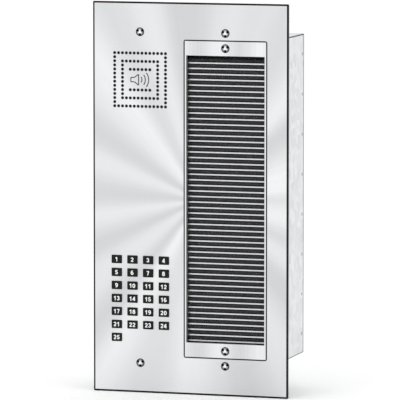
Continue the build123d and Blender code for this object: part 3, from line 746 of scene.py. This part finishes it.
def strip_laminate(first, pitch, height):
    """Two-ply engraving laminate: satin black, with a painted highlight along each strip's crowned middle and
    painted shade making its upper and lower edges darker.
    """
    finish, tree, surface, here = new_finish(
        "Black engraving laminate", {"Roughness": 0.5, "IOR": 1.5, "Specular IOR Level": 0.12}
    )
    parts = add_node(tree, "ShaderNodeSeparateXYZ", links={0: here})
    count = add_node(
        tree,
        "ShaderNodeMath",
        settings={"operation": "MULTIPLY_ADD"},
        values={1: 1 / pitch, 2: 0.5 - first / pitch},
        links={0: parts.outputs[2]},
    )
    across = add_node(tree, "ShaderNodeMath", settings={"operation": "FRACT"}, links={0: count})
    edge = 0.5 * height / pitch
    # painted light and shade: each strip lighter in its middle and darker at its upper and lower edges
    painted_crown_light_and_shade = add_node(
        tree,
        "ShaderNodeValToRGB",
        links={0: across},
        stops=[
            (0.5 - 0.68 * edge, linear("030303")),
            (0.5 - 0.36 * edge, linear("323234")),
            (0.5 + 0.36 * edge, linear("323234")),
            (0.5 + 0.68 * edge, linear("030303")),
        ],
    )
    # drag lines of the calender, 0.2 mm apart in truth, drawn 1 mm apart
    stretched = add_node(
        tree, "ShaderNodeMapping", values={"Scale": (8, 1 / (1 * MM), 1 / (1 * MM))}, links={"Vector": here}
    )
    lines = add_node(
        tree, "ShaderNodeTexNoise", values={"Scale": 1.0, "Detail": 1.0}, links={"Vector": stretched}
    )
    colour = shaded(tree, painted_crown_light_and_shade, lines, (0.3, 0.7), (0.97, 1.03))
    dress(tree, surface, colour, (lines, 0.45, 0.55))
    return finish


def paper_cone():
    """Felted black paper, doped: fine fibres and faint rings pressed round the cone."""
    finish, tree, surface, here = new_finish("Black speaker paper", {"Roughness": 0.85, "Sheen Weight": 0.2})
    low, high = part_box("speaker_cone")
    middle = (low + high) / 2
    centred = add_node(
        tree,
        "ShaderNodeMapping",
        values={"Location": (-middle.x, 0, -middle.z), "Scale": (1, 0, 1)},
        links={"Vector": here},
    )
    radius = add_node(tree, "ShaderNodeVectorMath", settings={"operation": "LENGTH"}, links={0: centred})
    # rings 3 mm apart
    turns = add_node(
        tree,
        "ShaderNodeMath",
        settings={"operation": "MULTIPLY"},
        values={1: 2 * math.pi / (3 * MM)},
        links={0: radius.outputs["Value"]},
    )
    rings = add_node(tree, "ShaderNodeMath", settings={"operation": "SINE"}, links={0: turns})
    fibre = add_node(
        tree, "ShaderNodeTexNoise", values={"Scale": 1 / (0.8 * MM), "Detail": 4.0}, links={"Vector": here}
    )
    colour = add_node(
        tree, "ShaderNodeValToRGB", links={0: fibre}, stops=[(0.3, linear("17171a")), (0.7, linear("2b2b2e"))]
    )
    dress(tree, surface, colour, relief=(rings, 0.3, 0.2 * MM))
    return finish


# ---------------------------------------------------------------- settings
def length(name, description, default):
    """A setting in metres."""
    return bpy.props.FloatProperty(name=name, description=description, default=default, unit="LENGTH")


def tint(name, description, default):
    """A colour setting, with an sRGB hex default."""
    return bpy.props.FloatVectorProperty(
        name=name, description=description, default=linear(default), subtype="COLOR", size=4
    )


class IntercomFinish(bpy.types.PropertyGroup):
    """Colours of the visible finishes"""

    plate_lift: bpy.props.FloatProperty(
        name="Plate brightness",
        description="Brightness of the brushed faceplate",
        default=0.935,
        min=0.5,
        max=1.5,
    )
    # painted sheen on the faceplate: the count and the unevenness of the fan-shaped sectors of light painted
    # into its colour
    fan_count: bpy.props.IntProperty(
        name="Fans of sheen", description="Bright fans round the brushing's centre", default=13, min=1
    )
    fan_sway: bpy.props.FloatProperty(
        name="Fan sway", description="How unevenly the fans are spaced", default=6.0, min=0.0
    )
    # painted shade: the dark colour painted on the stainless sheet's edges and hole walls, and the width of
    # the painted dark line round the faceplate
    edge_colour: tint("Painted edge shade", "Sheared edges of the stainless sheet", "1c1c1f")
    edge_line: length("Edge line", "Width of the dark line round the faceplate", 2.0 * MM)
    numeral_colour: tint("Numbers", "Paint in the button numbers", "fafaf8")


class IntercomSizes(bpy.types.PropertyGroup):
    """Sizes of the added detail"""

    numeral_height: length("Number height", "Height of a digit", 5.1 * MM)
    numeral_pen: length("Number stroke", "Width of a digit's strokes", 1.15 * MM)
    numeral_relief: length("Number relief", "Height of the paint above the sunk face", 0.1 * MM)
    strip_count: bpy.props.IntProperty(
        name="Name strips", description="Strips between the heading and the foot", default=50, min=2
    )
    strip_height: length("Strip height", "Height of one name strip", 5.2 * MM)
    heading_height: length("Heading height", "Height of the strip above the names", 9.06 * MM)
    rail_gap: length("Rail gap", "Gap between strips, where the rail shows", 1.28 * MM)
    strip_edge: length("Strip edge", "Width of a strip's broken edge", 0.3 * MM)
    grille_pitch: length("Grille pitch", "Hole spacing of the grille", 4.7625 * MM)
    grille_hole: length("Grille hole", "Diameter of a grille hole", 3.3 * MM)
    # painted shade: width of the dark ring round each grille hole
    hole_edge: length("Hole edge", "Width of the dark ring round a hole", 0.22 * MM)
    symbol_width: length("Symbol width", "Width of the loudspeaker symbol", 23 * MM)
    symbol_pen: length("Symbol line", "Width of the symbol's lines", 1.2 * MM)
    weld_spacing: length("Weld spacing", "Distance between spot welds on the box", 42 * MM)


class IntercomStage(bpy.types.PropertyGroup):
    """Camera, floor and lights"""

    azimuth: bpy.props.FloatProperty(
        name="Azimuth",
        description="Camera's turn to the right of the front",
        default=math.radians(17.0),
        unit="ROTATION",
    )
    elevation: bpy.props.FloatProperty(
        name="Elevation",
        description="Camera's height above level",
        default=math.radians(6.0),
        unit="ROTATION",
    )
    lens: bpy.props.FloatProperty(name="Lens", description="Focal length in mm", default=400.0, min=20.0)
    distance: length("Distance", "From the camera to the faceplate", 5.158)
    aim_right: length("Aim right", "How far right of the faceplate's centre the view is centred", 11 * MM)
    aim_up: length("Aim up", "How far above the faceplate's centre the view is centred", -0.75 * MM)
    floor_colour: tint("Floor", "Pale studio floor", "ffffff")
    sky_strength: bpy.props.FloatProperty(
        name="Room light", description="Light from all round", default=1.04, min=0.0
    )
    key_power: bpy.props.FloatProperty(
        name="Key light", description="Power of the large soft light", default=7.0, unit="POWER"
    )


# ---------------------------------------------------------------- operators
class INTERCOM_OT_faceplate(bpy.types.Operator):
    """Finishes the faceplate, the directory frame, and the faceplate and directory screws"""

    bl_idname = "intercom.faceplate"
    bl_label = "Faceplate and screws"

    def execute(self, context):
        paint(brushed_plate(), "faceplate")
        paint(brushed_frame(), "directory_frame")
        paint(screw_steel(), "faceplate_screws", "directory_screws")
        return {"FINISHED"}


class INTERCOM_OT_grille(bpy.types.Operator):
    """Adds a painted shade ring round each grille hole and the loudspeaker symbol in the middle"""

    bl_idname = "intercom.grille"
    bl_label = "Speaker grille"

    def execute(self, context):
        sizes = context.scene.intercom_sizes
        low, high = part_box("speaker_retainer")
        centre = (low + high) / 2
        front = PLATE_LOW.y
        # two square rings of holes, and a short row above and below the symbol
        half = (GRILLE_SIDE - 1) / 2
        places = []
        for row in range(GRILLE_SIDE):
            for column in range(GRILLE_SIDE):
                across, up = abs(column - half), abs(row - half)
                if max(across, up) in (half, half - 2) or (up == 2.5 and across <= 2.5):
                    x = centre.x + (column - half) * sizes.grille_pitch
                    z = centre.z + (row - half) * sizes.grille_pitch
                    places.append((x, front, z))
        inner, width = sizes.grille_hole / 2, sizes.hole_edge
        ring = turned(
            [(inner, 0.02 * MM), (inner, -0.03 * MM), (inner + width, 0.0), (inner + width, 0.02 * MM)], 20
        )
        # painted shade: a thin dark ring round each hole, standing for the shade at the hole's edge
        painted_hole_shade = grained(
            "Painted hole shade ring", "77787b", "5c5d60", {"Metallic": 0.8}, grain=2.0, rough=(0.35, 0.5)
        )
        scattered("grille_hole_edges", ring, places, "panel", painted_hole_shade)
        marks = pen_strokes(self.symbol(sizes.symbol_width, centre), sizes.symbol_pen, 0.05 * MM)
        symbol = fresh("speaker_symbol", shifted(marks, (0, front, 0)))
        # matt enamel in an etched line: flat dark grey
        etched = grained("Grey etch fill", "38383b", "2a2a2c", {}, grain=1.5, rough=(0.5, 0.65))
        finish_piece(symbol, "panel", etched)
        return {"FINISHED"}

    def symbol(self, width, centre):
        """A plain loudspeaker and three sound waves in outline, as paths about the grille's centre."""
        unit = width / 18
        left = centre.x - 8.8 * unit
        horn = [(0.0, -2.0), (3.4, -2.0), (7.4, -5.0), (7.4, 5.0), (3.4, 2.0), (0.0, 2.0)]
        outline = [(left + x * unit, centre.z + z * unit) for x, z in horn]
        paths = [[a, b] for a, b in zip(outline, outline[1:] + outline[:1])]
        hub = left + 6.6 * unit
        for reach in (4.0, 7.2, 10.4):
            paths.append(arc(hub, centre.z, reach * unit, reach * unit, -38, 38, 8))
        return paths


class INTERCOM_OT_buttons(bpy.types.Operator):
    """Finishes the call buttons and puts a white number into the sunk face of each"""

    bl_idname = "intercom.buttons"
    bl_label = "Numbered buttons"

    def execute(self, context):
        colours = context.scene.intercom_finish
        sizes = context.scene.intercom_sizes
        # textured ABS moulding: deep black, softened by a fine spark-eroded grain of 0.4 mm
        caps = grained(
            "Black moulded ABS",
            "141415",
            "0b0b0c",
            {"IOR": 1.5, "Specular IOR Level": 0.2},
            grain=0.4,
            rough=(0.42, 0.55),
            bump=0.02,
        )
        paint(caps, *BUTTONS)
        # enamel filled in and wiped level: flat white, faintly mottled
        white, tree, surface, here = new_finish("White filled enamel", {"Roughness": 0.55})
        mottle = add_node(tree, "ShaderNodeTexNoise", values={"Scale": 1 / (1 * MM)}, links={"Vector": here})
        tone = add_node(
            tree,
            "ShaderNodeMix",
            settings={"data_type": "RGBA"},
            values={6: tuple(colours.numeral_colour), 7: linear("eeeeea")},
            links={0: mottle},
        )
        dress(tree, surface, tone.outputs[2])
        for number, name in enumerate(BUTTONS, start=1):
            numeral = fresh(f"numeral_{number:02d}", self.digits(str(number), name, sizes))
            finish_piece(numeral, name, white)
        return {"FINISHED"}

    def digits(self, text, button, sizes):
        """A number of one or two digits, standing in the sunk face of its button."""
        tall = sizes.numeral_height
        low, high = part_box(button)
        left = (low.x + high.x) / 2 - tall * (DIGIT_ADVANCE * (len(text) - 1) + DIGIT_WIDTH) / 2
        foot = (low.z + high.z) / 2 - tall / 2
        paths = [
            [(left + tall * (x + DIGIT_ADVANCE * n), foot + tall * z) for x, z in path]
            for n, digit in enumerate(text)
            for path in DIGITS[digit]
        ]
        mesh = pen_strokes(paths, sizes.numeral_pen, sizes.numeral_relief)
        return shifted(mesh, (0, low.y + BUTTON_SINK, 0))


class INTERCOM_OT_directory(bpy.types.Operator):
    """Makes the name strips and finishes the track, tray and window"""

    bl_idname = "intercom.directory"
    bl_label = "Name directory"

    def execute(self, context):
        sizes = context.scene.intercom_sizes
        low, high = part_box("name_strips")
        height, count = sizes.strip_height, sizes.strip_count
        pitch = height + sizes.rail_gap
        first = high.z - sizes.heading_height - sizes.rail_gap - height / 2
        foot = first - height / 2 - pitch * (count - 1) - sizes.rail_gap
        laminate = strip_laminate(first, pitch, height)
        middle = ((low.x + high.x) / 2, (low.y + high.y) / 2)
        strips = grown(
            "name_strip_set",
            copies_in_a_line(),
            rounded_block(high.x - low.x, high.y - low.y, height, sizes.strip_edge),
            {"Count": count, "Start": (*middle, first), "Step": (0.0, 0.0, -pitch), "Finish": laminate},
        )
        ends = bmesh.new()
        ends.from_mesh(strips.data)
        for top, bottom in ((high.z, high.z - sizes.heading_height), (foot, low.z)):
            blank = rounded_block(high.x - low.x, high.y - low.y, top - bottom, sizes.strip_edge)
            ends.from_mesh(shifted(blank, (*middle, (top + bottom) / 2)))
            bpy.data.meshes.remove(blank)
        ends.to_mesh(strips.data)
        ends.free()
        finish_piece(strips, "panel", laminate)
        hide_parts("name_strips")
        # clear anodised extrusion: pale, satin, drawn lines along its length
        rails = grained(
            "Clear anodised aluminium", "eaebec", "dbdcde", {"Metallic": 0.85}, grain=3.0, rough=(0.3, 0.42)
        )
        paint(rails, "directory_track")
        # mill finish sheet: dull silver with rolling marks
        mill = grained(
            "Mill finish aluminium sheet",
            "d4d6d8",
            "bfc1c4",
            {"Metallic": 0.9},
            grain=14.0,
            rough=(0.35, 0.5),
        )
        paint(mill, "directory_tray")
        # polycarbonate: nearly invisible, with a soft reflection
        clear = grained(
            "Clear polycarbonate",
            "24272a",
            "1e2123",
            {"IOR": 1.58, "Specular IOR Level": 0.2, "Alpha": 0.03},
            grain=30.0,
            rough=(0.05, 0.09),
        )
        paint(clear, "directory_window")
        return {"FINISHED"}


class INTERCOM_OT_speaker(bpy.types.Operator):
    """Finishes the speaker's cone, dust cap, frame, screen, magnet, pole plates, terminals and leads"""

    bl_idname = "intercom.speaker"
    bl_label = "Speaker"

    def execute(self, context):
        paint(paper_cone(), "speaker_cone", "speaker_dust_cap")
        # stoved black enamel on pressed steel: even, slightly orange-peeled
        enamel = grained(
            "Black stoved enamel", "1f1f21", "151517", {"IOR": 1.5}, grain=2.5, rough=(0.35, 0.5), bump=0.03
        )
        paint(enamel, "speaker_frame", "speaker_screen")
        # fired ferrite: dull charcoal, faintly gritty
        ferrite = grained("Barium ferrite", "3c3c3f", "2b2b2e", {}, grain=0.9, rough=(0.7, 0.85), bump=0.04)
        paint(ferrite, "speaker_magnet")
        # zinc with yellow chromate: iridescent straw
        chromate = grained(
            "Yellow chromated steel", "c9b878", "b09a52", {"Metallic": 0.9}, grain=6.0, rough=(0.28, 0.4)
        )
        paint(chromate, "speaker_pole_plates")
        # hot tinned brass: pale straw silver, softly smeared
        tinned = grained("Tinned brass", "c9c3ae", "a8a08a", {"Metallic": 0.9}, grain=1.5, rough=(0.3, 0.45))
        paint(tinned, "speaker_terminals")
        # PVC insulation: waxy, one flat hue with slight mottling along the wire
        red = grained("Red PVC insulation", "b3221e", "9a1a18", {"IOR": 1.53}, grain=4.0, rough=(0.35, 0.45))
        paint(red, "speaker_lead_red")
        black = grained(
            "Black PVC insulation", "202022", "161618", {"IOR": 1.53}, grain=4.0, rough=(0.35, 0.45)
        )
        paint(black, "speaker_lead_black")
        return {"FINISHED"}


class INTERCOM_OT_board(bpy.types.Operator):
    """Finishes the keypad's layers and adds the small parts on the back of the circuit board"""

    bl_idname = "intercom.board"
    bl_label = "Keypad and circuit board"

    def execute(self, context):
        paint(solder_mask(), "button_board")
        # natural nylon: creamy, slightly waxy
        nylon = grained("Natural nylon", "e6e2d4", "d9d4c3", {"IOR": 1.53}, grain=5.0, rough=(0.45, 0.55))
        paint(nylon, "board_spacers", "button_guide")
        # moulded silicone: matt, slightly cloudy grey
        silicone = grained(
            "Grey silicone rubber", "9fa3a1", "8f9391", {"IOR": 1.41}, grain=3.0, rough=(0.6, 0.7)
        )
        paint(silicone, "keypad_mat")
        # carbon filled rubber: dead black
        carbon = grained("Carbon filled silicone", "1c1c1c", "101010", {}, grain=0.8, rough=(0.6, 0.75))
        paint(carbon, "contact_pills")
        # glossy moulded polyamide: even strong green
        green = grained(
            "Green moulded polyamide", "2f8f4e", "27804a", {"IOR": 1.53}, grain=3.0, rough=(0.4, 0.5)
        )
        paint(green, "terminal_blocks")
        # transfer-moulded epoxy: dull charcoal, faintly gritty
        epoxy = grained(
            "Black moulded epoxy", "29292b", "1c1c1e", {"IOR": 1.55}, grain=1.2, rough=(0.55, 0.7)
        )
        # reflowed solder: bright, a little frosted
        solder = grained(
            "Bright solder", "dcdcda", "bcbcba", {"Metallic": 1.0}, grain=0.8, rough=(0.22, 0.35)
        )
        low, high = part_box("button_board")
        back = high.y
        # diodes stand behind every row of buttons but the top and the bottom one
        columns = sorted({round(sum(c.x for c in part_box(b)) / 2, 6) for b in BUTTONS})
        rows = sorted({round(sum(c.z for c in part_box(b)) / 2, 6) for b in BUTTONS})[1:-1]
        spots = [(x - 1.5 * MM, back, z) for x in columns for z in rows]
        diode = shifted(rounded_block(4.6 * MM, 2.0 * MM, 2.2 * MM, 0.25 * MM), (0, 1.0 * MM, 0))
        scattered("board_diodes", diode, spots, "panel", epoxy)
        ends = [(x + side * 2.7 * MM, y, z) for x, y, z in spots for side in (-1, 1)]
        joint = turned([(0.0, 0.9 * MM), (0.5 * MM, 0.7 * MM), (1.1 * MM, 0.0), (0.0, 0.0)], 12, closed=False)
        scattered("board_solder_joints", joint, ends, "panel", solder)
        self.chips(back, (low + high) / 2, rows, epoxy, solder)
        return {"FINISHED"}

    def chips(self, back, centre, rows, epoxy, solder):
        """Two logic chips with gull-wing legs, between two rows of buttons."""
        gap = (rows[1] + rows[2]) / 2
        bodies = [(centre.x + side * 17 * MM, back, gap) for side in (-1, 1)]
        chip = shifted(rounded_block(10.0 * MM, 1.7 * MM, 4.0 * MM, 0.2 * MM), (0, 1.05 * MM, 0))
        scattered("board_chips", chip, bodies, "panel", epoxy)
        # seven legs a side, 1.27 mm apart
        legs = [
            (x + 1.27 * MM * (n - 3), y, z + side * 2.6 * MM)
            for x, y, z in bodies
            for n in range(7)
            for side in (-1, 1)
        ]
        leg = shifted(rounded_block(0.5 * MM, 0.9 * MM, 1.4 * MM, 0.08 * MM), (0, 0.45 * MM, 0))
        scattered("board_chip_legs", leg, legs, "panel", solder)


class INTERCOM_OT_box(bpy.types.Operator):
    """Finishes the back box, the gaskets and the plated fixings, and adds the box's spot welds"""

    bl_idname = "intercom.box"
    bl_label = "Back box and fixings"

    def execute(self, context):
        sizes = context.scene.intercom_sizes
        paint(galvanised(), "back_box")
        # bright zinc plate: cool silver, a little cloudy
        plated = grained(
            "Bright zinc plate", "d9dcdf", "bfc3c7", {"Metallic": 1.0}, grain=3.0, rough=(0.25, 0.4)
        )
        paint(
            plated,
            "weld_studs",
            "hex_nuts",
            "directory_nuts",
            "box_nuts",
            "terminal_screws",
            "speaker_retainer",
        )
        # closed-cell foam: matt black, pitted with 0.5 mm cells
        foam = grained("Closed-cell foam", "2a2a2b", "171718", {}, grain=0.5, rough=(0.85, 0.95), bump=0.15)
        paint(foam, "wall_gasket", "speaker_gasket", "directory_gasket")
        # moulded black nylon: soft satin
        bush = grained("Black nylon", "222224", "18181a", {"IOR": 1.53}, grain=2.0, rough=(0.45, 0.6))
        paint(bush, "cable_bushing")
        # dyed zinc plate: metallic green
        dyed = grained(
            "Green dyed zinc plate", "2c8a4a", "1f6e38", {"Metallic": 0.8}, grain=2.0, rough=(0.3, 0.45)
        )
        paint(dyed, "ground_screw")
        # resistance welds: the zinc is burnt off, which leaves dull grey discs
        burnt = grained(
            "Spot welded steel", "9b9da0", "7d7f83", {"Metallic": 0.7}, grain=1.5, rough=(0.4, 0.55)
        )
        low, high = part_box("back_box")
        count = int(2 * WELD_REACH / sizes.weld_spacing) + 1
        dimple = turned(
            [(0.0, -0.22 * MM), (1.2 * MM, -0.16 * MM), (2.1 * MM, 0.02 * MM), (0.0, 0.02 * MM)],
            16,
            closed=False,
        )
        for side, name in ((-1, "left"), (1, "right")):
            item = dimple.copy()
            item.transform(Matrix.Rotation(side * math.pi / 2, 4, "Z"))
            edge = low.x if side < 0 else high.x
            welds = grown(
                f"box_welds_{name}",
                copies_in_a_line(),
                item,
                {
                    "Count": count,
                    "Start": (edge, high.y - 9 * MM, -WELD_REACH),
                    "Step": (0.0, 0.0, 2 * WELD_REACH / (count - 1)),
                    "Finish": burnt,
                },
            )
            finish_piece(welds, "box", burnt)
        return {"FINISHED"}


class INTERCOM_OT_stage(bpy.types.Operator):
    """Sets the pale floor, the soft lights and the camera"""

    bl_idname = "intercom.stage"
    bl_label = "Floor, lights and camera"

    def execute(self, context):
        stage = context.scene.intercom_stage
        scene = context.scene
        scene.view_settings.view_transform = "Standard"
        scene.view_settings.look = "None"
        self.floor(stage)
        world = bpy.data.worlds.new("Studio")
        world.use_nodes = True
        world.node_tree.nodes.clear()
        sky = add_node(
            world.node_tree,
            "ShaderNodeBackground",
            values={"Color": (1.0, 1.0, 1.0, 1.0), "Strength": stage.sky_strength},
        )
        add_node(world.node_tree, "ShaderNodeOutputWorld", links={"Surface": sky})
        scene.world = world
        self.lamp("Key light", (-1.2, -2.2, 1.7), 1.6, stage.key_power)
        self.lamp("Fill light", (2.4, -0.6, 0.9), 1.4, stage.key_power * 0.4)
        self.camera(scene, stage)
        return {"FINISHED"}

    def floor(self, stage):
        """A wide plain floor just under the faceplate."""
        mesh = bpy.data.meshes.new("studio_floor")
        level = CAD_LOW.z - 0.2 * MM
        mesh.from_pydata(
            [(x, y, level) for x, y in ((-30, -30), (30, -30), (30, 60), (-30, 60))], [], [(0, 1, 2, 3)]
        )
        values = {"Base Color": tuple(stage.floor_colour), "Roughness": 0.9, "Specular IOR Level": 0.1}
        mesh.materials.append(new_finish("Pale studio floor", values)[0])
        fresh("studio_floor", mesh)

    def lamp(self, name, place, size, power):
        """A square soft light aimed at the faceplate."""
        light = bpy.data.lights.new(name, "AREA")
        light.energy, light.size = power, size
        lamp = bpy.data.objects.new(name, light)
        bpy.context.scene.collection.objects.link(lamp)
        lamp.location = place
        lamp.rotation_euler = (PLATE_CENTRE - Vector(place)).to_track_quat("-Z", "Y").to_euler()

    def camera(self, scene, stage):
        """A long lens, turned a little to the right of the faceplate and above it."""
        turn, rise = stage.azimuth, stage.elevation
        back = Vector((math.sin(turn) * math.cos(rise), -math.cos(turn) * math.cos(rise), math.sin(rise)))
        facing = (-back).to_track_quat("-Z", "Y")
        lens = bpy.data.cameras.new("Camera")
        lens.lens, lens.sensor_width = stage.lens, 36.0
        lens.clip_end = 100.0
        camera = bpy.data.objects.new("Camera", lens)
        scene.collection.objects.link(camera)
        aim = PLATE_CENTRE + facing @ Vector((stage.aim_right, stage.aim_up, 0))
        camera.location = aim + back * stage.distance
        camera.rotation_euler = facing.to_euler()
        scene.camera = camera


OPERATORS = (
    INTERCOM_OT_stage,
    INTERCOM_OT_faceplate,
    INTERCOM_OT_grille,
    INTERCOM_OT_buttons,
    INTERCOM_OT_directory,
    INTERCOM_OT_speaker,
    INTERCOM_OT_board,
    INTERCOM_OT_box,
)


class INTERCOM_PT_sidebar(bpy.types.Panel):
    """Lists the panel's operators and settings"""

    bl_idname = "INTERCOM_PT_sidebar"
    bl_label = "Door intercom"
    bl_space_type = "VIEW_3D"
    bl_region_type = "UI"
    bl_category = "Intercom"

    def draw(self, context):
        for operator in OPERATORS:
            self.layout.operator(operator.bl_idname)
        scene = context.scene
        for group in (scene.intercom_finish, scene.intercom_sizes, scene.intercom_stage):
            column = self.layout.column()
            for name in group.bl_rna.properties.keys():
                if name not in ("rna_type", "name"):
                    column.prop(group, name)


CLASSES = (IntercomFinish, IntercomSizes, IntercomStage, *OPERATORS, INTERCOM_PT_sidebar)


def register():
    for each in CLASSES:
        bpy.utils.register_class(each)
    bpy.types.Scene.intercom_finish = bpy.props.PointerProperty(type=IntercomFinish)
    bpy.types.Scene.intercom_sizes = bpy.props.PointerProperty(type=IntercomSizes)
    bpy.types.Scene.intercom_stage = bpy.props.PointerProperty(type=IntercomStage)


def unregister():
    del bpy.types.Scene.intercom_stage
    del bpy.types.Scene.intercom_sizes
    del bpy.types.Scene.intercom_finish
    for each in reversed(CLASSES):
        bpy.utils.unregister_class(each)


def main():
    """Builds everything."""
    register()
    bpy.ops.intercom.stage()
    bpy.ops.intercom.faceplate()
    bpy.ops.intercom.grille()
    bpy.ops.intercom.buttons()
    bpy.ops.intercom.directory()
    bpy.ops.intercom.speaker()
    bpy.ops.intercom.board()
    bpy.ops.intercom.box()


if __name__ == "__main__":
    main()
